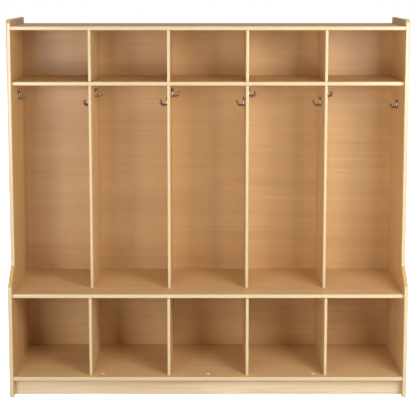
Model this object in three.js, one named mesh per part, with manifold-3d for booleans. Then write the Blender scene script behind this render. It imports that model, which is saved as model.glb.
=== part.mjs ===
// A five-bay wooden coat locker with a bench, open at the front.
// Millimetres, +Z up. The origin is on the floor, under the middle of the unit, and the front faces -Y.
// Boards are housed in grooves in the sides, and dividers in grooves in the boards.

import * as THREE from 'three';
import { mergeVertices } from 'three/addons/utils/BufferGeometryUtils.js';
import Module from 'manifold-3d';

const wasm = await Module();
wasm.setup();

// Widths
const bayCount = 5;
const bayWidth = 232;
const sideThickness = 12;
const dividerThickness = 9;

// Heights, from the floor up
const kickFloorGap = 2;
const kickHeight = 51;
const boardThickness = 12;
const lowerBayHeight = 246;
const hangingBayHeight = 632;
const topBayHeight = 157;
const sideRise = 20;

// Depths, and setbacks behind the front edge of the sides next to each piece
const lowerDepth = 381;
const shoulderSetback = 74;
const shoulderRise = 24;
const shoulderHeight = 53;
const topSetback = 3;
const cubbyShelfSetback = 20;
const upperDividerSetback = 21;
const benchSetback = 12;
const bottomSetback = 3;
const lowerDividerSetback = 22;
const kickSetback = 32;
const kickThickness = 12;
const backThickness = 6;
const backInset = 3;
const backFloorGap = 14;

// Rounded edges and corners
const edgeRadius = 2.5;
const topFrontRadius = 14;
const shoulderRadius = 6;
const cornerRadius = 4;

// Housings, and the gaps left between pieces
const sideHousingDepth = 4;
const dividerHousingDepth = 3;
const housingStop = 14;
const seam = 0.3;
const cutOverrun = 5;

// Coat hooks: the plate, its boss and its two prongs
const hookSetback = 148;
const leftHookDrop = 33;
const rightHookDrop = 61;
const sidePanelHookDrop = 7;
const plateHeight = 29;
const plateWidth = 18;
const plateThickness = 6.5;
const plateEdgeRadius = 2.4;
const bossHeight = 8.5;
const bossLength = 12.4;
const bossWidth = 15.5;
const prongRadius = 2.3;
const prongTipRadius = 3.6;
const prongReach = 24.5;
const prongDrop = 10.5;
const prongTipHeight = 0.3;
const prongTipSpread = 25;
const prongRootSpread = 5.8;
const prongRootDrop = 8;

// Screws of the hooks
const hookScrewSpacing = 18;
const hookScrewRadius = 1.5;
const hookScrewHeadRadius = 2.9;
const hookScrewHeadHeight = 1.5;
const hookScrewLength = 14;
const hookScrewPoint = 2;

// Screws through the bottom board into the kick board, and their caps
const kickScrewSpacing = 325;
const kickScrewRadius = 2;
const kickScrewHeadRadius = 3.8;
const kickScrewHeadHeight = 2.2;
const kickScrewLength = 38;
const kickScrewPoint = 4;
const capRadius = 5.5;
const capHeight = 1.4;
const capStemRadius = 3.7;
const capStemLength = 2.2;
const capCrownShare = 0.7;

// Facets on round forms
const holeFacets = 12;
const screwFacets = 10;
const capFacets = 20;
const plateFacets = 12;
const prongFacets = 8;
const prongSteps = 9;
const tipFacets = 8;
const bossRings = 3;
const edgeFacets = 3;
const bevelFacets = 2;

// Overall sizes and levels that follow from the sizes above
const clearWidth = bayCount * bayWidth + (bayCount - 1) * dividerThickness;
const unitWidth = clearWidth + 2 * sideThickness;
const bayPitch = bayWidth + dividerThickness;
const bottomUnder = kickFloorGap + kickHeight;
const bottomTop = bottomUnder + boardThickness;
const benchUnder = bottomTop + lowerBayHeight;
const benchTop = benchUnder + boardThickness;
const cubbyShelfUnder = benchTop + hangingBayHeight;
const cubbyShelfTop = cubbyShelfUnder + boardThickness;
const topUnder = cubbyShelfTop + topBayHeight;
const unitHeight = topUnder + boardThickness + sideRise;

// Depth positions, as Y: the unit's middle is at zero
const frontY = -lowerDepth / 2;
const rearY = lowerDepth / 2;
const upperFrontY = frontY + shoulderSetback;
const backRearY = rearY - backInset;
const backFrontY = backRearY - backThickness;
const boardRearY = backFrontY - seam;
const clearHalf = clearWidth / 2;
const housedHalf = clearHalf + sideHousingDepth;
const kickScrewY = frontY + kickSetback + kickThickness / 2;
const kickHeadTop = bottomTop - capStemLength - seam;

// Materials
const birch = { color: 0xd8b98c, roughness: 0.5, metalness: 0 };
const birchBack = { color: 0xc69c70, roughness: 0.55, metalness: 0 };
const chrome = { color: 0xc9cacc, roughness: 0.18, metalness: 1 };
const steel = { color: 0xb4b4b6, roughness: 0.35, metalness: 1 };
const whitePlastic = { color: 0xf1efe9, roughness: 0.45, metalness: 0 };

const unit = new THREE.Group();

// Solid and mesh helpers

// Points closer together than this are one point
const mergeTolerance = seam / 1000;

// Takes an outline drawn in (Y, Z) and its extrusion along X into the unit's frame
const yzToXyz = new THREE.Matrix4().makeBasis(
  new THREE.Vector3(0, 1, 0),
  new THREE.Vector3(0, 0, 1),
  new THREE.Vector3(1, 0, 0),
);

function solidOf(geometry) {
  const bare = geometry.clone();
  bare.deleteAttribute('normal');
  bare.deleteAttribute('uv');
  const merged = mergeVertices(bare, mergeTolerance);
  return new wasm.Manifold(new wasm.Mesh({
    numProp: 3,
    vertProperties: new Float32Array(merged.attributes.position.array),
    triVerts: new Uint32Array(merged.index.array),
  }));
}

function geometryOf(solid) {
  const { vertProperties, triVerts } = solid.getMesh();
  const geometry = new THREE.BufferGeometry();
  geometry.setAttribute('position', new THREE.BufferAttribute(vertProperties, 3));
  geometry.setIndex(new THREE.BufferAttribute(triVerts, 1));
  geometry.computeVertexNormals();
  return geometry;
}

function addPiece(name, geometry, material, parent = unit) {
  const mesh = new THREE.Mesh(geometry, new THREE.MeshStandardMaterial(material));
  mesh.name = name;
  parent.add(mesh);
  return mesh;
}

// A box between two corners, each given as [x, y, z]
function boxBetween([x0, y0, z0], [x1, y1, z1]) {
  const geometry = new THREE.BoxGeometry(x1 - x0, y1 - y0, z1 - z0);
  return geometry.translate((x0 + x1) / 2, (y0 + y1) / 2, (z0 + z1) / 2);
}

// A turned form about Z, from [radius, height] points that start and end on the axis
function turned(points, facets) {
  const profile = points.map(([radius, height]) => new THREE.Vector2(radius, height));
  return new THREE.LatheGeometry(profile, facets).rotateX(Math.PI / 2);
}

function cylinderAlongZ(radius, bottom, top, facets) {
  return turned([[0, bottom], [radius, bottom], [radius, top], [0, top]], facets);
}

function cutAll(solid, cutters) {
  return cutters.reduce((rest, cutter) => rest.subtract(solidOf(cutter)), solid);
}

// A closed outline whose corners, given as [x, y, radius], are rounded
function roundedOutline(corners) {
  const outline = new THREE.Shape();
  corners.forEach(([x, y, radius], index) => {
    const corner = new THREE.Vector2(x, y);
    const before = corners[(index + corners.length - 1) % corners.length];
    const after = corners[(index + 1) % corners.length];
    const towards = ([otherX, otherY]) => new THREE.Vector2(otherX, otherY)
      .sub(corner).setLength(radius).add(corner);
    const start = towards(before);
    const end = towards(after);
    if (index === 0) outline.moveTo(start.x, start.y);
    else outline.lineTo(start.x, start.y);
    if (radius > 0) outline.quadraticCurveTo(corner.x, corner.y, end.x, end.y);
  });
  outline.closePath();
  return outline;
}

// Boards and dividers

// A board across the unit, housed in both sides, with its two front edges rounded.
// The front corners are cut back so that the housings don't show.
function boardGeometry({ front, rear, under, grooves }) {
  const top = under + boardThickness;
  const section = roundedOutline([
    [front, under, edgeRadius], [rear, under, 0], [rear, top, 0], [front, top, edgeRadius],
  ]);
  const housedLength = 2 * (housedHalf - seam);
  const body = new THREE.ExtrudeGeometry(section, {
    depth: housedLength, bevelEnabled: false, curveSegments: edgeFacets,
  });
  body.applyMatrix4(yzToXyz).translate(-housedLength / 2, 0, 0);
  const notches = [-1, 1].map((side) => {
    const inner = side * (clearHalf - seam);
    const outer = side * (housedHalf + cutOverrun);
    return boxBetween(
      [Math.min(inner, outer), front - cutOverrun, under - cutOverrun],
      [Math.max(inner, outer), front + housingStop, top + cutOverrun],
    );
  });
  return cutAll(solidOf(body), [...notches, ...grooves]);
}

// Grooves for the dividers in a board's face at a height; direction is +1 up into the board, -1 down
function dividerGrooves(dividerFront, faceZ, direction, rear) {
  const deep = faceZ + direction * dividerHousingDepth;
  const open = faceZ - direction * cutOverrun;
  return dividerCentres.map((x) => boxBetween(
    [x - dividerThickness / 2 - seam, dividerFront + housingStop - seam, Math.min(deep, open)],
    [x + dividerThickness / 2 + seam, rear, Math.max(deep, open)],
  ));
}

// A divider between two boards, housed in both, with its front edges rounded
function dividerSolid({ x, front, under, over }) {
  const left = x - dividerThickness / 2;
  const right = x + dividerThickness / 2;
  const section = roundedOutline([
    [left, front, edgeRadius], [right, front, edgeRadius], [right, boardRearY, 0], [left, boardRearY, 0],
  ]);
  const bottom = under - dividerHousingDepth + seam;
  const top = over + dividerHousingDepth - seam;
  const body = new THREE.ExtrudeGeometry(section, {
    depth: top - bottom, bevelEnabled: false, curveSegments: edgeFacets,
  }).translate(0, 0, bottom);
  const notchLeft = left - cutOverrun;
  const notchRight = right + cutOverrun;
  const notchFront = front - cutOverrun;
  const notchRear = front + housingStop;
  return cutAll(solidOf(body), [
    boxBetween([notchLeft, notchFront, bottom - cutOverrun], [notchRight, notchRear, under + seam]),
    boxBetween([notchLeft, notchFront, over - seam], [notchRight, notchRear, top + cutOverrun]),
  ]);
}

// Side panels

// A groove in a side's inner face; side is -1 for the left panel, +1 for the right one
function sideHousing(side, front, rear, under, top) {
  const deep = side * housedHalf;
  const open = side * (clearHalf - cutOverrun);
  return boxBetween(
    [Math.min(deep, open), front - seam, under - seam],
    [Math.max(deep, open), rear + seam, top + seam],
  );
}

function sideGeometry(side) {
  const shoulderBottom = benchTop + shoulderRise;
  const shoulderTop = shoulderBottom + shoulderHeight;
  const outline = roundedOutline([
    [frontY, 0, cornerRadius],
    [rearY, 0, cornerRadius],
    [rearY, unitHeight, cornerRadius],
    [upperFrontY, unitHeight, topFrontRadius],
    [upperFrontY, shoulderTop, shoulderRadius],
    [frontY, shoulderBottom, shoulderRadius],
  ]);
  const body = new THREE.ExtrudeGeometry(outline, {
    depth: sideThickness - 2 * edgeRadius,
    bevelThickness: edgeRadius,
    bevelSize: edgeRadius,
    bevelOffset: -edgeRadius,
    bevelSegments: bevelFacets,
    curveSegments: edgeFacets,
  });
  const outer = side < 0 ? -unitWidth / 2 : clearHalf;
  body.applyMatrix4(yzToXyz).translate(outer + edgeRadius, 0, 0);
  const housings = boards.map(({ front, rear, under }) => (
    sideHousing(side, front + housingStop, rear, under, under + boardThickness)
  ));
  const kicks = kickBoards.map(({ front }) => (
    sideHousing(side, front, front + kickThickness, kickFloorGap, bottomUnder - seam)
  ));
  const back = sideHousing(side, backFrontY, backRearY, backFloorGap, topUnder);
  return cutAll(solidOf(body), [...housings, ...kicks, back]);
}

// Coat hooks and their screws, made pointing along +X from a wall at x = 0

function countersunkScrew({ radius, headRadius, headHeight, length, point, facets }) {
  return turned([
    [0, -length], [radius, point - length], [radius, -headHeight], [headRadius, 0], [0, 0],
  ], facets);
}

function hookGeometry() {
  const plateOutline = new THREE.Shape();
  plateOutline.absellipse(0, 0, plateWidth / 2, plateHeight / 2, 0, 2 * Math.PI, false);
  const plate = new THREE.ExtrudeGeometry(plateOutline, {
    depth: plateThickness,
    bevelThickness: plateEdgeRadius,
    bevelSize: plateEdgeRadius,
    bevelOffset: -plateEdgeRadius,
    bevelSegments: edgeFacets,
    curveSegments: plateFacets,
  }).translate(0, 0, -plateEdgeRadius).applyMatrix4(yzToXyz);

  const bossProfile = Array.from({ length: bossRings + 1 }, (_, ring) => {
    const angle = (ring / bossRings) * (Math.PI / 2);
    return [Math.cos(angle), Math.sin(angle)];
  });
  const boss = turned([[0, 0], ...bossProfile.slice(0, -1), [0, 1]], holeFacets)
    .rotateY(Math.PI / 2)
    .scale(bossHeight, bossWidth / 2, bossLength / 2);

  let hook = solidOf(plate).add(solidOf(boss));
  for (const side of [-1, 1]) {
    const path = prongPath(side);
    const prong = new THREE.ExtrudeGeometry(circleOutline(prongRadius, prongFacets), {
      steps: prongSteps, extrudePath: path,
    });
    const end = path.getPoint(1);
    const tip = new THREE.SphereGeometry(prongTipRadius, tipFacets, tipFacets - 2)
      .translate(end.x, end.y, end.z);
    hook = hook.add(solidOf(prong)).add(solidOf(tip));
  }
  for (const z of hookScrewHeights) {
    const hole = turned([
      [0, -cutOverrun],
      [hookScrewRadius + seam, -cutOverrun],
      [hookScrewRadius + seam, plateThickness - hookScrewHeadHeight - seam],
      [hookScrewHeadRadius + seam, plateThickness - seam],
      [hookScrewHeadRadius + seam, plateThickness + cutOverrun],
      [0, plateThickness + cutOverrun],
    ], holeFacets);
    hook = hook.subtract(solidOf(hole.rotateY(Math.PI / 2).translate(0, 0, z)));
  }
  const behindWall = boxBetween(
    [-plateHeight, -plateHeight, -plateHeight],
    [0, plateHeight, plateHeight],
  );
  return geometryOf(hook.subtract(solidOf(behindWall)));
}

// From the lower part of the plate, out and down, then up to a tip beside the plate
function prongPath(side) {
  const shares = [
    // out from the wall, spread from root to tip, height from the lowest point to the tip
    [0.26, 0.16, 0.12],
    [0.52, 0.38, 0],
    [0.79, 0.66, 0.19],
    [0.95, 0.89, 0.64],
    [1, 1, 1],
  ];
  const points = shares.map(([reachShare, spreadShare, heightShare]) => new THREE.Vector3(
    reachShare * prongReach,
    side * (prongRootSpread + spreadShare * (prongTipSpread - prongRootSpread)),
    -prongDrop + heightShare * (prongDrop + prongTipHeight),
  ));
  const root = new THREE.Vector3(plateThickness / 2, side * prongRootSpread, -prongRootDrop);
  return new THREE.CatmullRomCurve3([root, ...points]);
}

function circleOutline(radius, facets) {
  return new THREE.Shape(Array.from({ length: facets }, (_, index) => {
    const angle = (index / facets) * 2 * Math.PI;
    return new THREE.Vector2(radius * Math.cos(angle), radius * Math.sin(angle));
  }));
}

// The shared layout

const hookScrewHeights = [hookScrewSpacing / 2, -hookScrewSpacing / 2];

const dividerCentres = Array.from(
  { length: bayCount - 1 },
  (_, index) => (index + 1 - bayCount / 2) * bayPitch,
);

const topFront = upperFrontY + topSetback;
const cubbyShelfFront = upperFrontY + cubbyShelfSetback;
const upperDividerFront = upperFrontY + upperDividerSetback;
const benchFront = frontY + benchSetback;
const bottomFront = frontY + bottomSetback;
const lowerDividerFront = frontY + lowerDividerSetback;
const pastRear = boardRearY + cutOverrun;

const boards = [
  {
    name: 'top_panel',
    front: topFront,
    rear: backRearY,
    under: topUnder,
    grooves: dividerGrooves(upperDividerFront, topUnder, 1, boardRearY + seam),
  },
  {
    name: 'cubby_shelf',
    front: cubbyShelfFront,
    rear: boardRearY,
    under: cubbyShelfUnder,
    grooves: [
      ...dividerGrooves(upperDividerFront, cubbyShelfTop, -1, pastRear),
      ...dividerGrooves(upperDividerFront, cubbyShelfUnder, 1, pastRear),
    ],
  },
  {
    name: 'bench_panel',
    front: benchFront,
    rear: boardRearY,
    under: benchUnder,
    grooves: [
      ...dividerGrooves(upperDividerFront, benchTop, -1, pastRear),
      ...dividerGrooves(lowerDividerFront, benchUnder, 1, pastRear),
    ],
  },
  {
    name: 'bottom_panel',
    front: bottomFront,
    rear: boardRearY,
    under: bottomUnder,
    grooves: dividerGrooves(lowerDividerFront, bottomTop, -1, pastRear),
  },
];

const kickBoards = [
  { name: 'front_kick_board', front: frontY + kickSetback },
  { name: 'rear_kick_rail', front: boardRearY - kickThickness },
];

const dividerRows = [
  { name: 'cubby_divider', front: upperDividerFront, under: cubbyShelfTop, over: topUnder },
  { name: 'hanging_divider', front: upperDividerFront, under: benchTop, over: cubbyShelfUnder },
  { name: 'lower_divider', front: lowerDividerFront, under: bottomTop, over: benchUnder },
];

const kickScrewPlaces = [-kickScrewSpacing, 0, kickScrewSpacing];

// Each bay's two hooks: facing is +1 on the wall at the bay's left, -1 on the wall at its right
const hooks = [];
for (let bay = 0; bay < bayCount; bay += 1) {
  const bayLeft = -clearHalf + bay * bayPitch;
  const onLeftSide = bay === 0;
  const onRightSide = bay === bayCount - 1;
  hooks.push({
    name: `${bay + 1}_left`,
    facing: 1,
    wall: bayLeft,
    height: cubbyShelfUnder - leftHookDrop - (onLeftSide ? sidePanelHookDrop : 0),
  });
  hooks.push({
    name: `${bay + 1}_right`,
    facing: -1,
    wall: bayLeft + bayWidth,
    height: cubbyShelfUnder - rightHookDrop - (onRightSide ? sidePanelHookDrop : 0),
  });
}
const hookY = upperFrontY + hookSetback;

// Blind holes for the hook screws in the wall that carries them
function hookPilotHoles(wallFrom, wallTo) {
  const reach = hookScrewLength - plateThickness - seam;
  return hooks.filter(({ wall }) => wall > wallFrom && wall < wallTo).flatMap(({ facing, wall, height }) => (
    hookScrewHeights.map((z) => (
      cylinderAlongZ(hookScrewRadius + seam, -reach - seam, cutOverrun, holeFacets)
        .rotateY(facing * (Math.PI / 2))
        .translate(wall, hookY, height + z)
    ))
  ));
}

// A pocket for the cap's stem and the screw's head, and a hole for its shank
function kickScrewHoles(x) {
  const pocketFloor = kickHeadTop - kickScrewHeadHeight - seam;
  return [
    cylinderAlongZ(kickScrewHeadRadius + seam, pocketFloor, bottomTop + cutOverrun, holeFacets),
    cylinderAlongZ(kickScrewRadius + seam, bottomUnder - cutOverrun, bottomTop, holeFacets),
  ].map((hole) => hole.translate(x, kickScrewY, 0));
}

// Making the pieces

for (const [side, name] of [[-1, 'left_side_panel'], [1, 'right_side_panel']]) {
  const inner = side * clearHalf;
  const holes = hookPilotHoles(inner - sideThickness / 2, inner + sideThickness / 2);
  addPiece(name, geometryOf(cutAll(sideGeometry(side), holes)), birch);
}

for (const board of boards) {
  let solid = boardGeometry(board);
  if (board.name === 'bottom_panel') solid = cutAll(solid, kickScrewPlaces.flatMap(kickScrewHoles));
  addPiece(board.name, geometryOf(solid), birch);
}

for (const { name, front } of kickBoards) {
  const half = housedHalf - seam;
  const kick = boxBetween(
    [-half, front, kickFloorGap],
    [half, front + kickThickness, bottomUnder - seam],
  );
  const isFront = name === 'front_kick_board';
  const pilots = kickScrewPlaces.map((x) => cylinderAlongZ(
    kickScrewRadius + seam,
    kickHeadTop - kickScrewLength - seam,
    bottomTop,
    holeFacets,
  ).translate(x, kickScrewY, 0));
  addPiece(name, geometryOf(cutAll(solidOf(kick), isFront ? pilots : [])), birch);
}

addPiece('back_panel', boxBetween(
  [-housedHalf + seam, backFrontY, backFloorGap],
  [housedHalf - seam, backRearY, topUnder - seam],
), birchBack);

for (const { name, front, under, over } of dividerRows) {
  dividerCentres.forEach((x, index) => {
    const solid = dividerSolid({ x, front, under, over });
    const holds = name === 'hanging_divider';
    const holes = holds ? hookPilotHoles(x - dividerThickness, x + dividerThickness) : [];
    addPiece(`${name}_${index + 1}`, geometryOf(cutAll(solid, holes)), birch);
  });
}

const hookShape = hookGeometry();
const hookScrewShape = countersunkScrew({
  radius: hookScrewRadius,
  headRadius: hookScrewHeadRadius,
  headHeight: hookScrewHeadHeight,
  length: hookScrewLength,
  point: hookScrewPoint,
  facets: screwFacets,
}).rotateY(Math.PI / 2);

for (const { name, facing, wall, height } of hooks) {
  const place = new THREE.Group();
  place.position.set(wall + facing * seam, hookY, height);
  place.rotation.z = facing > 0 ? 0 : Math.PI;
  unit.add(place);
  addPiece(`coat_hook_${name}`, hookShape, chrome, place);
  for (const [z, end] of [[hookScrewHeights[0], 'upper'], [hookScrewHeights[1], 'lower']]) {
    const screw = addPiece(`hook_screw_${name}_${end}`, hookScrewShape, steel, place);
    screw.position.set(plateThickness, 0, z);
  }
}

const kickScrewShape = countersunkScrew({
  radius: kickScrewRadius,
  headRadius: kickScrewHeadRadius,
  headHeight: kickScrewHeadHeight,
  length: kickScrewLength,
  point: kickScrewPoint,
  facets: screwFacets,
});
const capShape = turned([
  [0, -capStemLength + seam],
  [capStemRadius, -capStemLength + seam],
  [capStemRadius, seam],
  [capRadius, seam],
  [capRadius, capHeight / 2],
  [capRadius * capCrownShare, capHeight],
  [0, capHeight],
], capFacets);

kickScrewPlaces.forEach((x, index) => {
  addPiece(`kick_screw_${index + 1}`, kickScrewShape, steel).position.set(x, kickScrewY, kickHeadTop);
  addPiece(`kick_screw_cap_${index + 1}`, capShape, whitePlastic).position.set(x, kickScrewY, bottomTop);
});

export default unit;
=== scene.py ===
"""A five-bay birch plywood coat locker with a bench, dressed for rendering.

Metres, +Z up, the open front facing -Y. The panels are the frame's own nodes with plywood materials.
The coat hooks, the screws and the screw caps are finer meshes in the same places.
"""
import math
from collections import namedtuple

import bmesh
import bpy
from mathutils import Matrix, Vector


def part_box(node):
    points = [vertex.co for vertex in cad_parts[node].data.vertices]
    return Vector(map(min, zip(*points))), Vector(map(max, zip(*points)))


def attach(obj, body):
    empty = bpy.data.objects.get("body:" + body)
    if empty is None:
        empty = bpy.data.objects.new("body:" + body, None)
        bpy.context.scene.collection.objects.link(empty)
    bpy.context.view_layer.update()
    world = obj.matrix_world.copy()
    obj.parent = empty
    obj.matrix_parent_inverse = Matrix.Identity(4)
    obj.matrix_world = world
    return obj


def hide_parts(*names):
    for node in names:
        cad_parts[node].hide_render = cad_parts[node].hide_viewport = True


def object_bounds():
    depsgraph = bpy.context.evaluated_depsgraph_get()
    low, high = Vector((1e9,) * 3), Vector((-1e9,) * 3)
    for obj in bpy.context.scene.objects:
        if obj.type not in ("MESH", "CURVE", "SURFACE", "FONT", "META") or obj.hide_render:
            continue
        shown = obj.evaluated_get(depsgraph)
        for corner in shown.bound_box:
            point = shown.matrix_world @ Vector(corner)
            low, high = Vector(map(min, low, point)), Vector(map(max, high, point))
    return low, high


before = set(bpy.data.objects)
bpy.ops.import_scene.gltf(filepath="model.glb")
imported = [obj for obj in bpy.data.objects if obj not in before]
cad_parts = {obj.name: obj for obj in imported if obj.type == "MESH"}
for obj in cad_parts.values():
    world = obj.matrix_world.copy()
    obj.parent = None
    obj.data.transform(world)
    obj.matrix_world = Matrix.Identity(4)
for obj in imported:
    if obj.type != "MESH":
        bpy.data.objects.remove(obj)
cad_low, cad_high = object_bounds()

MM = 0.001
BODY = "root"
BAYS = 5
KICK_SCREWS = 3
AXES = {"X": 0, "Y": 1, "Z": 2}
WHITE = (1.0, 1.0, 1.0, 1.0)

# Camera, fitted to the photograph's edges: focal length and shift in pixels of a 416-pixel frame
FRAME_PIXELS = 416
FOCAL_PIXELS = 1298.0
SHIFT_PIXELS = -50.0
SENSOR_WIDTH = 36.0
CAMERA_DISTANCE = 3.859
CAMERA_HEIGHT = 1.2713
CAMERA_PITCH = 0.1355

# Lamps, each with a name, a place, a size and its watts. One stands in front on either side, the
# right one nearer and higher, a low one behind, and a low one beside each side panel.
FRONT_LAMP_SIZE = (0.9, 1.1)
REAR_LAMP_SIZE = (1.4, 0.4)
SIDE_LAMP_SIZE = (0.9, 0.7)
LAMP_TARGET_HEIGHT = 0.6
LAMPS = [
    ("lamp_left", (-1.2, -2.6, 0.9), FRONT_LAMP_SIZE, 29.8),
    ("lamp_right", (1.2, -1.9, 1.2), FRONT_LAMP_SIZE, 38.2),
    ("lamp_rear", (0.0, 2.4, 0.25), REAR_LAMP_SIZE, 23.0),
    ("lamp_beside_left", (-2.6, 0.8, 0.45), SIDE_LAMP_SIZE, 19.0),
    ("lamp_beside_right", (2.6, 0.8, 0.45), SIDE_LAMP_SIZE, 13.0),
]

# World light. The sky in front is told from the one behind by the Y of a direction, and each rise
# or fall is a span of its Z. The fills light the object, and the reflections show in what is glossy.
BEHIND_RISE = (-0.15, 0.15)
FRONT_FILL = 0.42
FRONT_FILL_RISE = (0.4, 0.6)
REAR_FILL = 0.7
REAR_FILL_FALL = (0.1, 0.55)
TOP_FILL = 0.8
TOP_FILL_RISE = (0.55, 0.75)
FRONT_REFLECTION = 0.04
FRONT_BAND_REFLECTION = 0.5
FRONT_BAND_FALL = (0.1, 0.3)
REAR_REFLECTION = 0.6
REAR_REFLECTION_RISE = (0.0, 0.04)

# Floor
FLOOR_HALF = 14.0
FLOOR_GREY = (0.8, 0.8, 0.8, 1.0)
FLOOR_GLOW = 0.93
FLOOR_REFLECTION = 0.05

# Coat hook, matching the frame's plain one
PLATE_HEIGHT = 29 * MM
PLATE_WIDTH = 18 * MM
PLATE_THICKNESS = 6.5 * MM
PLATE_EDGE = 2.4 * MM
PLATE_STEPS = 48
PLATE_EDGE_STEPS = 3
BOSS_HEIGHT = 8.5 * MM
BOSS_LENGTH = 12.4 * MM
BOSS_WIDTH = 15.5 * MM
BOSS_STEPS = 8
BOSS_SIDES = 32
PRONG_RADIUS = 2.3 * MM
PRONG_TIP_RADIUS = 3.6 * MM
PRONG_REACH = 24.5 * MM
PRONG_DROP = 10.5 * MM
PRONG_TIP_HEIGHT = 0.3 * MM
PRONG_TIP_SPREAD = 25 * MM
PRONG_ROOT_SPREAD = 5.8 * MM
PRONG_ROOT_DROP = 8 * MM
PRONG_SIDES = 20
PRONG_PATH_STEPS = 8
PRONG_TIP_STEPS = 8
PRONG_END_SHARE = 0.4
HOOK_VOXEL = 0.42 * MM
HOOK_SMOOTHING = 0.5
HOOK_SMOOTHING_STEPS = 5
HOOK_KEPT_SHARE = 0.35

# The prong's middle line from its root to its tip, as shares of its reach, its spread and its rise
PRONG_SHARES = [
    (0.26, 0.16, 0.12),
    (0.52, 0.38, 0),
    (0.79, 0.66, 0.19),
    (0.95, 0.89, 0.64),
    (1, 1, 1),
]

# Screws, each with its shank's radius, its head's radius and height, its length and its thread's pitch
Screw = namedtuple("Screw", "radius head_radius head_height length pitch")
HOOK_SCREW = Screw(1.5 * MM, 2.9 * MM, 1.5 * MM, 14 * MM, 1.1 * MM)
KICK_SCREW = Screw(2 * MM, 3.8 * MM, 2.2 * MM, 38 * MM, 1.6 * MM)
HOOK_SCREW_SPACING = 18 * MM
SEAM = 0.3 * MM
RECESS_OVERRUN = 2 * MM
RECESS_SIDES = 32

# A screw's core and its point's length, as shares of the shank's radius. The first ring above the
# tip is a share of both, and the crest of the thread lies between two shares of the pitch.
SCREW_CORE_SHARE = 0.72
SCREW_POINT_SHARE = 2
SCREW_TIP_SHARE = 0.3
THREAD_CREST_SHARES = (0.45, 0.55)
SCREW_SIDES = 24

# The head's rim and flat, and the blade that cuts its cross, as shares of the head's radius. The
# blade's lower end is a share of its upper one.
HEAD_RIM_SHARE = 0.06
HEAD_FLAT_SHARE = 0.5
BLADE_LENGTH_SHARE = 1.25
BLADE_WIDTH_SHARE = 0.26
BLADE_DEPTH_SHARE = 0.75
BLADE_TAPER_SHARE = 0.45

# Caps over the kick screws. Each share is of the cap's radius or height, or of its stem's.
CAP_RADIUS = 5.5 * MM
CAP_HEIGHT = 1.4 * MM
CAP_STEM_RADIUS = 3.7 * MM
CAP_STEM_LENGTH = 2.2 * MM
CAP_STEM_END_SHARE = 0.9
CAP_STEM_CONE_SHARE = 0.85
CAP_RIM_SHARE = 0.35
CAP_RIM_BEVEL_SHARE = 0.3
CAP_RIM_FOOT_SHARE = 0.98
CAP_DOME_STEPS = 6
CAP_SIDES = 40


def srgb(red, green, blue):
    """A colour written as a screen shows it, 0 to 255, turned into the linear one that shaders take."""
    def linear(value):
        share = value / 255
        return share / 12.92 if share <= 0.04045 else ((share + 0.055) / 1.055) ** 2.4
    return (linear(red), linear(green), linear(blue), 1.0)


# Wood colours
FACE_COLOURS = (srgb(223, 187, 136), srgb(214, 176, 123))
# The left side panel's colours are the face colours darkened: painted shade for the lower light on its
# inner face, not a tone of its own.
LEFT_SIDE_PAINTED_SHADE_COLOURS = (srgb(212, 173, 119), srgb(203, 162, 107))
BACK_COLOURS = (srgb(218, 179, 124), srgb(205, 163, 108))
KICK_COLOURS = (srgb(223, 204, 175), srgb(205, 178, 140))
EDGE_COLOURS = (srgb(223, 201, 161), srgb(202, 178, 136))
SLOPE_GRAIN = srgb(224, 176, 112)
END_GRAIN = srgb(170, 127, 80)
PORE = srgb(146, 98, 56)

# Metal and plastic colours
CHROME_COLOURS = (srgb(182, 184, 188), srgb(160, 160, 162))
ZINC_COLOURS = (srgb(176, 176, 178), srgb(150, 150, 152))
CAP_COLOURS = (srgb(243, 240, 232), srgb(232, 228, 218))

# Grain noises, each with its repeats in a metre along the grain and across it. The bands take
# their distortion from the finish.
Grain = namedtuple("Grain", "along across detail roughness distortion")
CLOUDS = Grain(2.2, 11.0, 2.0, 0.5, 0.0)
BANDS = Grain(1.3, 46.0, 4.0, 0.6, 0.0)
FIBRES = Grain(9.0, 520.0, 3.0, 0.7, 0.0)
PORES = Grain(55.0, 900.0, 1.0, 0.5, 0.0)
STREAKS = Grain(4.5, 210.0, 1.0, 0.5, 0.2)
BLOTCHES = Grain(28.0, 55.0, 1.0, 0.5, 0.0)
SEED_STEPS = (1.37, 2.11, 0.73)

# Even noises, each with its repeats in a metre, its detail and its roughness
END_GRAIN_NOISE = (260.0, 3.0, 0.7)
EDGE_MARK_NOISE = (38.0, 1.0, 0.5)
CHROME_WEAR_NOISE = (160.0, 4.0, 0.6)
CHROME_WAVE_NOISE = (420.0, 1.0, 0.5)
ZINC_NOISE = (900.0, 2.0, 0.5)
CAP_TEXTURE_NOISE = (1400.0, 2.0, 0.5)
CAP_MOTTLE_NOISE = (90.0, 2.0, 0.5)

# The face veneer: how its noises add up, and the span of each noise that shows, with its strength
CLOUD_SHARE = 0.45
BAND_SHARE = 0.55
TONE_SPAN = (0.3, 0.7)
FIBRE_CONTRAST = 0.16
FIBRE_DARKEST = 0.92
PORE_MARKS = (0.66, 0.78, 0.0, 0.22)
STREAK_MARKS = (0.7, 0.82, 0.0, 0.34)
BLOTCH_MARKS = (0.7, 0.82, 0.0, 0.16)
VENEER_SPECULAR = 0.42
VENEER_BUMP = (0.18, 0.25 * MM)

# The edges: the plies, their glue lines, and how far each cut turns across the grain or to the face
PLIES = 7
PLY_SHARE = 0.5
END_GRAIN_SHARE = 0.45
PLY_TONE_SPAN = (0.15, 0.8)
GLUE_PLACE = 0.5
GLUE_LINES = (0.0, 0.08, 0.24, 0.0)
EDGE_MARKS = (0.76, 0.81, 0.0, 0.4)
SLOPE_FACING = (0.3, 0.75, 0.0, 0.9)
END_FACING = (0.88, 0.98, 0.0, 0.85)
VENEER_FACING = (0.35, 0.75)
EDGE_LACQUER = 0.7
EDGE_LACQUER_ROUGHNESS = 0.2

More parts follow.
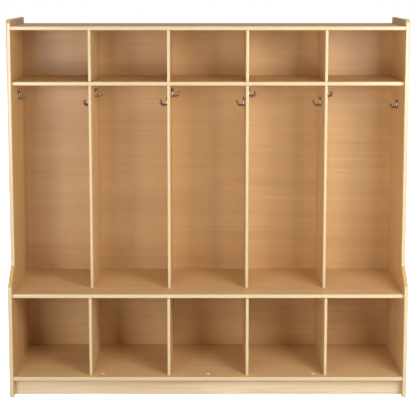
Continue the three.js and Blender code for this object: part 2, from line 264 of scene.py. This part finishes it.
# Finishes of a face: how far its grain wanders, its least and greatest roughness, and its lacquer
Finish = namedtuple("Finish", "figure smoothest roughest lacquer lacquer_roughness")
PANEL_FINISH = Finish(0.6, 0.40, 0.50, 0.12, 0.32)
KICK_FINISH = Finish(2.2, 0.40, 0.50, 0.12, 0.32)
TOP_FINISH = Finish(0.6, 0.60, 0.70, 0.0, 0.32)
BACK_FINISH = Finish(0.6, 0.42, 0.52, 0.26, 0.28)

# Metal and plastic: the span of a noise, and the roughness that it gives from low to high
CHROME_WEAR_SPAN = (0.35, 0.75)
CHROME_ROUGHNESS = (0.3, 0.8, 0.17, 0.3)
CHROME_BUMP = (0.05, 0.3 * MM)
ZINC_ROUGHNESS = (0.3, 0.7, 0.25, 0.4)
CAP_ROUGHNESS = (0.3, 0.7, 0.38, 0.5)
CAP_BUMP = (0.12, 0.1 * MM)


class Nodes:
    """Short calls for building a node tree. The Mix and Map Range sockets go by number."""

    def __init__(self, tree):
        self.tree = tree
        tree.nodes.clear()

    def add(self, kind, inputs=None, **settings):
        node = self.tree.nodes.new("ShaderNode" + kind)
        for name, value in settings.items():
            setattr(node, name, value)
        for name, value in (inputs or {}).items():
            self.put(node.inputs[name], value)
        return node

    def put(self, socket, value):
        if isinstance(value, bpy.types.NodeSocket):
            self.tree.links.new(value, socket)
        else:
            socket.default_value = value

    def math(self, operation, first, second=0.0):
        return self.add("Math", {0: first, 1: second}, operation=operation).outputs[0]

    def multiply_add(self, value, factor, addend):
        inputs = {0: value, 1: factor, 2: addend}
        return self.add("Math", inputs, operation="MULTIPLY_ADD").outputs[0]

    def mix(self, factor, first, second, blend="MIX"):
        inputs = {0: factor, 6: first, 7: second}
        return self.add("Mix", inputs, data_type="RGBA", blend_type=blend).outputs[2]

    def blend(self, factor, first, second):
        return self.add("Mix", {0: factor, 2: first, 3: second}, data_type="FLOAT").outputs[0]

    def range(self, value, from_low, from_high, to_low=0.0, to_high=1.0):
        inputs = {0: value, 1: from_low, 2: from_high, 3: to_low, 4: to_high}
        return self.add("MapRange", inputs, interpolation_type="SMOOTHSTEP").outputs[0]

    def noise(self, vector, scale, detail, roughness, distortion=0.0):
        inputs = {
            "Vector": vector, "Scale": scale, "Detail": detail,
            "Roughness": roughness, "Distortion": distortion,
        }
        return self.add("TexNoise", inputs).outputs[0]

    def stretched(self, vector, scales, offset):
        inputs = {"Vector": vector, "Scale": scales, "Location": offset}
        return self.add("Mapping", inputs).outputs[0]

    def bump(self, height, strength, distance):
        inputs = {"Strength": strength, "Distance": distance, "Height": height}
        return self.add("Bump", inputs).outputs[0]

    def object_place(self):
        return self.add("TexCoord").outputs["Object"]

    def seen_directly(self, ray):
        return self.math("MAXIMUM", ray.outputs["Is Camera Ray"], ray.outputs["Is Transmission Ray"])


def new_material(name):
    material = bpy.data.materials.new(name)
    material.use_nodes = True
    return material, Nodes(material.node_tree)


def finish_material(nodes, inputs, normal=None):
    shader = nodes.add("BsdfPrincipled", inputs)
    if normal is not None:
        nodes.put(shader.inputs["Normal"], normal)
    output = nodes.add("OutputMaterial")
    nodes.put(output.inputs["Surface"], shader.outputs[0])


# Plywood

def face_colour(nodes, grain_noise, bands, fibres, colours):
    """The veneer: soft bands from pale to dark, fine fibres, and a few pores, streaks and blotches."""
    clouds = nodes.math("MULTIPLY", grain_noise(CLOUDS), CLOUD_SHARE)
    tone = nodes.math("ADD", clouds, nodes.math("MULTIPLY", bands, BAND_SHARE))
    face = nodes.mix(nodes.range(tone, *TONE_SPAN), *colours)
    shade = nodes.multiply_add(fibres, FIBRE_CONTRAST, FIBRE_DARKEST)
    grey = nodes.add("CombineColor", {0: shade, 1: shade, 2: shade}).outputs[0]
    face = nodes.mix(1.0, face, grey, "MULTIPLY")
    for kind, marks in ((PORES, PORE_MARKS), (STREAKS, STREAK_MARKS), (BLOTCHES, BLOTCH_MARKS)):
        face = nodes.mix(nodes.range(grain_noise(kind), *marks), face, PORE)
    return face


def edge_colour(nodes, even_noise, depth, across_grain):
    """The plies as thin bands through the sheet, and a deeper colour where a cut crosses the grain."""
    ply = nodes.math("PINGPONG", nodes.math("MULTIPLY", depth, float(PLIES)), 1.0)
    end_grain = nodes.math("MULTIPLY", even_noise(*END_GRAIN_NOISE), END_GRAIN_SHARE)
    tone = nodes.multiply_add(ply, PLY_SHARE, end_grain)
    edge = nodes.mix(nodes.range(tone, *PLY_TONE_SPAN), *EDGE_COLOURS)
    glue = nodes.math("ABSOLUTE", nodes.math("SUBTRACT", ply, GLUE_PLACE))
    edge = nodes.mix(nodes.range(glue, *GLUE_LINES), edge, PORE)
    edge = nodes.mix(nodes.range(even_noise(*EDGE_MARK_NOISE), *EDGE_MARKS), edge, PORE)
    edge = nodes.mix(nodes.range(across_grain, *SLOPE_FACING), edge, SLOPE_GRAIN)
    return nodes.mix(nodes.range(across_grain, *END_FACING), edge, END_GRAIN)


def plywood(name, grain, through, low_face, thickness, colours, seed, finish):
    """Lacquered birch plywood: a face veneer with its grain along one axis, and edges that show plies.

    through is the axis through the sheet, and low_face the sheet's lower face on that axis.
    """
    material, nodes = new_material(name)
    place = nodes.object_place()
    offset = [seed * step for step in SEED_STEPS]

    def grain_noise(kind):
        scales = [kind.along if axis == grain else kind.across for axis in AXES]
        vector = nodes.stretched(place, scales, offset)
        return nodes.noise(vector, 1.0, kind.detail, kind.roughness, kind.distortion)

    def even_noise(scale, detail, roughness):
        return nodes.noise(nodes.stretched(place, [scale] * 3, offset), 1.0, detail, roughness)

    bands = grain_noise(BANDS._replace(distortion=finish.figure))
    fibres = grain_noise(FIBRES)
    face = face_colour(nodes, grain_noise, bands, fibres, colours)

    spread = nodes.add("SeparateXYZ", {0: place}).outputs[AXES[through]]
    depth = nodes.math("DIVIDE", nodes.math("SUBTRACT", spread, low_face), thickness)
    facing = nodes.add("SeparateXYZ", {0: nodes.add("NewGeometry").outputs["Normal"]})
    across_grain = nodes.math("ABSOLUTE", facing.outputs[AXES[grain]])
    edge = edge_colour(nodes, even_noise, depth, across_grain)

    on_face = nodes.math("ABSOLUTE", facing.outputs[AXES[through]])
    veneer = nodes.range(on_face, *VENEER_FACING)
    finish_material(nodes, {
        "Base Color": nodes.mix(veneer, edge, face),
        "Roughness": nodes.range(bands, *TONE_SPAN, finish.smoothest, finish.roughest),
        "Specular IOR Level": VENEER_SPECULAR,
        "Coat Weight": nodes.blend(veneer, EDGE_LACQUER, finish.lacquer),
        "Coat Roughness": nodes.blend(veneer, EDGE_LACQUER_ROUGHNESS, finish.lacquer_roughness),
    }, nodes.bump(fibres, *VENEER_BUMP))
    return material


# Metal and plastic

def chrome_material():
    material, nodes = new_material("polished_chrome")
    place = nodes.object_place()
    wear = nodes.noise(place, *CHROME_WEAR_NOISE)
    waves = nodes.noise(place, *CHROME_WAVE_NOISE)
    finish_material(nodes, {
        "Base Color": nodes.mix(nodes.range(wear, *CHROME_WEAR_SPAN), *CHROME_COLOURS),
        "Metallic": 1.0,
        "Roughness": nodes.range(wear, *CHROME_ROUGHNESS),
    }, nodes.bump(waves, *CHROME_BUMP))
    return material


def steel_material():
    material, nodes = new_material("zinc_steel")
    spangle = nodes.noise(nodes.object_place(), *ZINC_NOISE)
    finish_material(nodes, {
        "Base Color": nodes.mix(spangle, *ZINC_COLOURS),
        "Metallic": 1.0,
        "Roughness": nodes.range(spangle, *ZINC_ROUGHNESS),
    })
    return material


def cap_material():
    material, nodes = new_material("white_moulded_plastic")
    place = nodes.object_place()
    texture = nodes.noise(place, *CAP_TEXTURE_NOISE)
    mottle = nodes.noise(place, *CAP_MOTTLE_NOISE)
    finish_material(nodes, {
        "Base Color": nodes.mix(mottle, *CAP_COLOURS),
        "Roughness": nodes.range(texture, *CAP_ROUGHNESS),
    }, nodes.bump(texture, *CAP_BUMP))
    return material


# Camera, lamps, world and floor

def make_camera():
    data = bpy.data.cameras.new("camera")
    data.sensor_width = SENSOR_WIDTH
    data.lens = FOCAL_PIXELS / FRAME_PIXELS * SENSOR_WIDTH
    data.shift_y = SHIFT_PIXELS / FRAME_PIXELS
    camera = bpy.data.objects.new("camera", data)
    camera.location = (0, cad_low.y - CAMERA_DISTANCE, CAMERA_HEIGHT)
    camera.rotation_euler = (math.pi / 2 - CAMERA_PITCH, 0, 0)
    bpy.context.scene.collection.objects.link(camera)
    bpy.context.scene.camera = camera


def make_lamp(name, place, size, watts):
    data = bpy.data.lights.new(name, "AREA")
    data.shape = "RECTANGLE"
    data.size, data.size_y = size
    data.energy = watts
    lamp = bpy.data.objects.new(name, data)
    lamp.visible_camera = False
    lamp.location = place
    aim = Vector((0, 0, LAMP_TARGET_HEIGHT)) - lamp.location
    lamp.rotation_euler = aim.to_track_quat("-Z", "Y").to_euler()
    bpy.context.scene.collection.objects.link(lamp)


def make_world():
    """White where the camera sees it, a fill of light on the object, and bands of light in reflections."""
    world = bpy.data.worlds.new("studio")
    bpy.context.scene.world = world
    world.use_nodes = True
    nodes = Nodes(world.node_tree)
    ray = nodes.add("LightPath")
    direction = nodes.add("SeparateXYZ", {0: nodes.add("TexCoord").outputs["Generated"]})
    behind = nodes.range(direction.outputs["Y"], *BEHIND_RISE)
    up = direction.outputs["Z"]

    low_fill = nodes.range(up, *REAR_FILL_FALL, REAR_FILL, 0.0)
    top_fill = nodes.range(up, *TOP_FILL_RISE, 0.0, TOP_FILL)
    front_fill = nodes.range(up, *FRONT_FILL_RISE, 0.0, FRONT_FILL)
    fill = nodes.blend(behind, front_fill, nodes.math("ADD", low_fill, top_fill))

    height = nodes.math("ABSOLUTE", up)
    front_band = nodes.range(height, *FRONT_BAND_FALL, FRONT_BAND_REFLECTION, FRONT_REFLECTION)
    rear_wall = nodes.range(up, *REAR_REFLECTION_RISE, 0.0, REAR_REFLECTION)
    mirrored = nodes.blend(behind, front_band, rear_wall)

    strength = nodes.blend(ray.outputs["Is Glossy Ray"], fill, mirrored)
    strength = nodes.blend(nodes.seen_directly(ray), strength, 1.0)
    background = nodes.add("Background", {"Color": WHITE, "Strength": strength})
    output = nodes.add("OutputWorld")
    nodes.put(output.inputs["Surface"], background.outputs[0])


def make_floor():
    """A wide floor that glows nearly white to the camera and still takes a shadow."""
    mesh = bpy.data.meshes.new("floor")
    corners = [(-1, -1), (1, -1), (1, 1), (-1, 1)]
    mesh.from_pydata([(x * FLOOR_HALF, y * FLOOR_HALF, 0) for x, y in corners], [], [(0, 1, 2, 3)])
    floor = bpy.data.objects.new("floor", mesh)
    bpy.context.scene.collection.objects.link(floor)
    material, nodes = new_material("floor")
    ray = nodes.add("LightPath")
    mirrored = nodes.math("MULTIPLY", ray.outputs["Is Glossy Ray"], FLOOR_REFLECTION)
    strength = nodes.blend(nodes.seen_directly(ray), mirrored, FLOOR_GLOW)
    diffuse = nodes.add("BsdfDiffuse", {"Color": FLOOR_GREY})
    glow = nodes.add("Emission", {"Color": WHITE, "Strength": strength})
    both = nodes.add("AddShader", {0: diffuse.outputs[0], 1: glow.outputs[0]})
    output = nodes.add("OutputMaterial")
    nodes.put(output.inputs["Surface"], both.outputs[0])
    mesh.materials.append(material)


# Mesh helpers

def shade_smooth(mesh):
    for polygon in mesh.polygons:
        polygon.use_smooth = True


def object_from(name, mesh):
    shade_smooth(mesh)
    piece = bpy.data.objects.new(name, mesh)
    bpy.context.scene.collection.objects.link(piece)
    return piece


def mesh_from(work, name):
    """The bmesh as mesh data, its faces turned outwards."""
    bmesh.ops.recalc_face_normals(work, faces=work.faces)
    mesh = bpy.data.meshes.new(name)
    work.to_mesh(mesh)
    work.free()
    return mesh


def join_rings(work, rings):
    """Faces from each ring of points to the next."""
    sides = len(rings[0])
    for low, high in zip(rings, rings[1:]):
        for step in range(sides):
            after = (step + 1) % sides
            work.faces.new((low[step], low[after], high[after], high[step]))


def close_ends(work, rings):
    """A face over the first ring and one over the last."""
    work.faces.new(list(reversed(rings[0])))
    work.faces.new(rings[-1])


def lathe_mesh(name, profile, sides):
    """A turned form about Z. The profile's (radius, height) points start and end on the axis."""
    work = bmesh.new()
    bottom = work.verts.new((0, 0, profile[0][1]))
    angles = [2 * math.pi * index / sides for index in range(sides)]
    rings = []
    for radius, height in profile[1:-1]:
        rings.append([work.verts.new((radius * math.cos(a), radius * math.sin(a), height)) for a in angles])
    top = work.verts.new((0, 0, profile[-1][1]))
    for index in range(sides):
        after = (index + 1) % sides
        work.faces.new((bottom, rings[0][after], rings[0][index]))
        for low, high in zip(rings, rings[1:]):
            work.faces.new((low[index], low[after], high[after], high[index]))
        work.faces.new((top, rings[-1][index], rings[-1][after]))
    return mesh_from(work, name)


def sweep_mesh(name, centres, radii, sides):
    """A round rod along a smooth path, closed at both ends."""
    work = bmesh.new()
    angles = [2 * math.pi * step / sides for step in range(sides)]
    side_way = None
    rings = []
    for index, (centre, radius) in enumerate(zip(centres, radii)):
        before = centres[max(index - 1, 0)]
        after = centres[min(index + 1, len(centres) - 1)]
        forward = (after - before).normalized()
        if side_way is None:
            side_way = forward.orthogonal().normalized()
        side_way = (side_way - forward * side_way.dot(forward)).normalized()
        other_way = forward.cross(side_way)
        outward = [side_way * math.cos(angle) + other_way * math.sin(angle) for angle in angles]
        rings.append([work.verts.new(centre + away * radius) for away in outward])
    join_rings(work, rings)
    close_ends(work, rings)
    return mesh_from(work, name)


def evaluated_mesh(piece, name):
    """The piece's mesh with its modifiers applied, as new data. The piece itself is removed."""
    graph = bpy.context.evaluated_depsgraph_get()
    mesh = bpy.data.meshes.new_from_object(piece.evaluated_get(graph))
    mesh.name = name
    bpy.data.objects.remove(piece)
    return mesh


def combine(target, other, operation):
    """The target joined with the other piece, or cut by it. Both are used up."""
    modifier = target.modifiers.new(operation, "BOOLEAN")
    modifier.operation = operation
    modifier.solver = "EXACT"
    modifier.object = other
    joined = object_from(target.name, evaluated_mesh(target, target.name))
    bpy.data.objects.remove(other)
    return joined


# Coat hooks

def plate_outline(inset):
    """The plate's oval outline, drawn in by an inset."""
    angles = [2 * math.pi * step / PLATE_STEPS for step in range(PLATE_STEPS)]
    across, up = PLATE_WIDTH / 2 - inset, PLATE_HEIGHT / 2 - inset
    return [(across * math.cos(angle), up * math.sin(angle)) for angle in angles]


def plate_mesh():
    """The plate, from the wall out, with a rounded outer edge."""
    work = bmesh.new()
    levels = [(0, 0), (PLATE_THICKNESS - PLATE_EDGE, 0)]
    for step in range(1, PLATE_EDGE_STEPS + 1):
        angle = math.pi / 2 * step / PLATE_EDGE_STEPS
        inset = PLATE_EDGE * (1 - math.cos(angle))
        levels.append((PLATE_THICKNESS - PLATE_EDGE * (1 - math.sin(angle)), inset))
    rings = [[work.verts.new((out, y, z)) for y, z in plate_outline(inset)] for out, inset in levels]
    join_rings(work, rings)
    close_ends(work, rings)
    return mesh_from(work, "hook_plate")


def boss_mesh():
    """The raised middle of the plate: half of an ellipsoid."""
    profile = [(0, 0)]
    for step in range(BOSS_STEPS):
        angle = math.pi / 2 * step / BOSS_STEPS
        profile.append((math.cos(angle), math.sin(angle)))
    mesh = lathe_mesh("hook_boss", profile + [(0, 1)], BOSS_SIDES)
    turn = Matrix.Rotation(math.pi / 2, 4, "Y")
    mesh.transform(Matrix.Diagonal((BOSS_HEIGHT, BOSS_WIDTH / 2, BOSS_LENGTH / 2, 1)) @ turn)
    return mesh


def prong_points(side):
    """Out from the lower part of the plate, down, and up to a tip."""
    points = [Vector((PLATE_THICKNESS / 2, side * PRONG_ROOT_SPREAD, -PRONG_ROOT_DROP))]
    for reach_share, spread_share, rise_share in PRONG_SHARES:
        points.append(Vector((
            reach_share * PRONG_REACH,
            side * (PRONG_ROOT_SPREAD + spread_share * (PRONG_TIP_SPREAD - PRONG_ROOT_SPREAD)),
            -PRONG_DROP + rise_share * (PRONG_DROP + PRONG_TIP_HEIGHT),
        )))
    return points


def smooth_path(points, steps):
    """A Catmull-Rom curve through the points, with even steps between each pair."""
    path = []
    for index in range(len(points) - 1):
        first, second = points[index], points[index + 1]
        before = points[index - 1] if index else first * 2 - second
        after = points[index + 2] if index + 2 < len(points) else second * 2 - first
        for step in range(steps):
            share = step / steps
            path.append(0.5 * (
                2 * first
                + (second - before) * share
                + (2 * before - 5 * first + 4 * second - after) * share ** 2
                + (3 * first - before - 3 * second + after) * share ** 3
            ))
    return path + [points[-1]]


def prong_mesh(side):
    """A prong that swells into a round tip, whose last ring stops just short of the pole."""
    path = smooth_path(prong_points(side), PRONG_PATH_STEPS)
    tip = path[-1]
    forward = (tip - path[-2]).normalized()
    neck_angle = math.asin(PRONG_RADIUS / PRONG_TIP_RADIUS)
    neck_reach = PRONG_TIP_RADIUS * math.cos(neck_angle)
    sweep = math.pi - neck_angle
    centres = [point for point in path[:-1] if (tip - point).length > neck_reach]
    radii = [PRONG_RADIUS] * len(centres)
    for step in range(PRONG_TIP_STEPS + 1):
        angle = sweep - sweep * step / (PRONG_TIP_STEPS + PRONG_END_SHARE)
        centres.append(tip + forward * (PRONG_TIP_RADIUS * math.cos(angle)))
        radii.append(PRONG_TIP_RADIUS * math.sin(angle))
    return sweep_mesh("hook_prong", centres, radii, PRONG_SIDES)


def screw_recess_mesh():
    """The countersunk hole for a hook screw, its open end at z = 0."""
    shank = HOOK_SCREW.radius + SEAM
    head = HOOK_SCREW.head_radius + SEAM
    return lathe_mesh("screw_recess", [
        (0, -PLATE_THICKNESS - RECESS_OVERRUN),
        (shank, -PLATE_THICKNESS - RECESS_OVERRUN),
        (shank, -HOOK_SCREW.head_height - SEAM),
        (head, -SEAM),
        (head, RECESS_OVERRUN),
        (0, RECESS_OVERRUN),
    ], RECESS_SIDES)


def hook_mesh():
    """One casting: plate, boss and two prongs, blended where they meet, with two countersunk holes."""
    hook = object_from("hook_work", plate_mesh())
    hook = combine(hook, object_from("hook_boss", boss_mesh()), "UNION")
    for side in (-1, 1):
        hook = combine(hook, object_from("hook_prong", prong_mesh(side)), "UNION")
    for end in (-1, 1):
        recess = screw_recess_mesh()
        recess.transform(Matrix.Rotation(math.pi / 2, 4, "Y"))
        recess.transform(Matrix.Translation((PLATE_THICKNESS, 0, end * HOOK_SCREW_SPACING / 2)))
        hook = combine(hook, object_from("screw_recess", recess), "DIFFERENCE")
    remesh = hook.modifiers.new("cast", "REMESH")
    remesh.mode = "VOXEL"
    remesh.voxel_size = HOOK_VOXEL
    remesh.use_smooth_shade = True
    smooth = hook.modifiers.new("blend", "SMOOTH")
    smooth.factor = HOOK_SMOOTHING
    smooth.iterations = HOOK_SMOOTHING_STEPS
    thin = hook.modifiers.new("thin", "DECIMATE")
    thin.ratio = HOOK_KEPT_SHARE
    return evaluated_mesh(hook, "coat_hook")


# Screws and caps

def recess_blade_mesh(head_radius, turn):
    """One tapered blade of the bit that cuts a cross into a screw's head."""
    work = bmesh.new()
    verts = bmesh.ops.create_cube(work, size=1)["verts"]
    for vert in verts:
        taper = BLADE_TAPER_SHARE if vert.co.z < 0 else 1.0
        vert.co.x *= head_radius * BLADE_LENGTH_SHARE * taper
        vert.co.y *= head_radius * BLADE_WIDTH_SHARE * taper
        vert.co.z *= head_radius * BLADE_DEPTH_SHARE
    bmesh.ops.rotate(work, verts=verts, cent=(0, 0, 0), matrix=Matrix.Rotation(turn, 3, "Z"))
    return mesh_from(work, "recess_blade")


def screw_profile(size):
    """A screw's profile from its point up to its head, whose top is at z = 0."""
    core = size.radius * SCREW_CORE_SHARE
    point = size.radius * SCREW_POINT_SHARE
    rim = size.head_radius * HEAD_RIM_SHARE
    profile = [(0, -size.length), (core * SCREW_TIP_SHARE, point * SCREW_TIP_SHARE - size.length)]
    height = point - size.length
    while height < -size.head_height - 2 * size.pitch:
        profile.append((core, height))
        profile += [(size.radius, height + size.pitch * share) for share in THREAD_CREST_SHARES]
        height += size.pitch
    return profile + [
        (core, height),
        (core, -size.head_height - size.pitch / 2),
        (size.radius, -size.head_height),
        (size.head_radius, -rim),
        (size.head_radius - rim, 0),
        (size.head_radius * HEAD_FLAT_SHARE, 0),
        (0, 0),
    ]


def screw_mesh(name, size):
    """A countersunk wood screw with a thread, a point and a cross recess."""
    screw = object_from(name, lathe_mesh(name, screw_profile(size), SCREW_SIDES))
    for turn in (0, math.pi / 2):
        blade = object_from("recess_blade", recess_blade_mesh(size.head_radius, turn))
        screw = combine(screw, blade, "DIFFERENCE")
    return evaluated_mesh(screw, name)


def cap_mesh():
    """A push-in cap: a stem, a thin rim and a low dome."""
    rim = CAP_HEIGHT * CAP_RIM_SHARE
    dome = CAP_HEIGHT - SEAM - rim
    profile = [
        (0, SEAM - CAP_STEM_LENGTH),
        (CAP_STEM_RADIUS * CAP_STEM_END_SHARE, SEAM - CAP_STEM_LENGTH),
        (CAP_STEM_RADIUS, SEAM - CAP_STEM_LENGTH * CAP_STEM_CONE_SHARE),
        (CAP_STEM_RADIUS, SEAM),
        (CAP_RADIUS * CAP_RIM_FOOT_SHARE, SEAM),
        (CAP_RADIUS, SEAM + rim * CAP_RIM_BEVEL_SHARE),
        (CAP_RADIUS, SEAM + rim),
    ]
    for step in range(1, CAP_DOME_STEPS):
        angle = math.pi / 2 * step / CAP_DOME_STEPS
        profile.append((CAP_RADIUS * math.cos(angle) ** 0.5, SEAM + rim + dome * math.sin(angle)))
    mesh = lathe_mesh("screw_cap", profile + [(0, CAP_HEIGHT)], CAP_SIDES)
    shade_smooth(mesh)
    return mesh


# Placing the pieces

def place_piece(name, mesh, location, rotation_z, node):
    piece = bpy.data.objects.new(name, mesh)
    piece.location = location
    piece.rotation_euler = (0, 0, rotation_z)
    bpy.context.scene.collection.objects.link(piece)
    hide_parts(node)
    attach(piece, BODY)


def dress_hooks(chrome, steel):
    """A hook on either wall of each bay, with its two screws."""
    hook = hook_mesh()
    hook.materials.append(chrome)
    screw = screw_mesh("hook_screw", HOOK_SCREW)
    screw.transform(Matrix.Rotation(math.pi / 2, 4, "Y"))
    screw.materials.append(steel)
    for bay in range(1, BAYS + 1):
        for wall, facing in (("left", 1), ("right", -1)):
            node = f"coat_hook_{bay}_{wall}"
            low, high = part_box(node)
            middle = (low + high) / 2
            root = Vector((low.x if facing > 0 else high.x, middle.y, middle.z))
            turn = 0 if facing > 0 else math.pi
            place_piece(f"cast_{node}", hook, root, turn, node)
            for end, way in (("upper", 1), ("lower", -1)):
                screw_node = f"hook_screw_{bay}_{wall}_{end}"
                up = way * HOOK_SCREW_SPACING / 2
                spot = root + Vector((facing * PLATE_THICKNESS, 0, up))
                place_piece(f"turned_{screw_node}", screw, spot, turn, screw_node)


def dress_kick_screws(steel, plastic):
    """The screws that hold the bottom board to the kick board, each under its cap."""
    screw = screw_mesh("kick_screw", KICK_SCREW)
    screw.materials.append(steel)
    cap = cap_mesh()
    cap.materials.append(plastic)
    for number in range(1, KICK_SCREWS + 1):
        for node, mesh, slot, over in (
            (f"kick_screw_{number}", screw, "steel_screw", 0),
            (f"kick_screw_cap_{number}", cap, "white_cap", CAP_HEIGHT),
        ):
            low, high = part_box(node)
            middle = (low + high) / 2
            place_piece(f"fine_{node}", mesh, (middle.x, middle.y, high.z - over), 0, node)


def dress_panels():
    """Gives each panel of the frame its own piece of plywood, with its grain and its thickness' axis."""
    panels = [
        ("left_side_panel", "Z", "X"), ("right_side_panel", "Z", "X"),
        ("top_panel", "X", "Z"), ("cubby_shelf", "X", "Z"),
        ("bench_panel", "X", "Z"), ("bottom_panel", "X", "Z"),
        ("front_kick_board", "X", "Y"), ("rear_kick_rail", "X", "Y"),
        ("back_panel", "X", "Y"),
    ]
    for row in ("cubby_divider", "hanging_divider", "lower_divider"):
        panels += [(f"{row}_{number}", "Z", "X") for number in range(1, BAYS)]
    all_colours = {
        # The left side panel takes darker colours as painted shade for the lower light on its inner face.
        "left_side_panel": LEFT_SIDE_PAINTED_SHADE_COLOURS,
        "front_kick_board": KICK_COLOURS,
        "rear_kick_rail": KICK_COLOURS,
        "back_panel": BACK_COLOURS,
    }
    finishes = {"front_kick_board": KICK_FINISH, "top_panel": TOP_FINISH, "back_panel": BACK_FINISH}
    for seed, (node, grain, through) in enumerate(panels, start=1):
        low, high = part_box(node)
        axis = AXES[through]
        thickness = high[axis] - low[axis]
        colours = all_colours.get(node, FACE_COLOURS)
        finish = finishes.get(node, PANEL_FINISH)
        name = f"plywood_{node}"
        material = plywood(name, grain, through, low[axis], thickness, colours, seed, finish)
        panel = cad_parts[node]
        panel.data.materials.clear()
        panel.data.materials.append(material)


bpy.context.scene.view_settings.view_transform = "Standard"
make_camera()
for lamp in LAMPS:
    make_lamp(*lamp)
make_world()
make_floor()
dress_panels()
steel = steel_material()
dress_hooks(chrome_material(), steel)
dress_kick_screws(steel, cap_material())
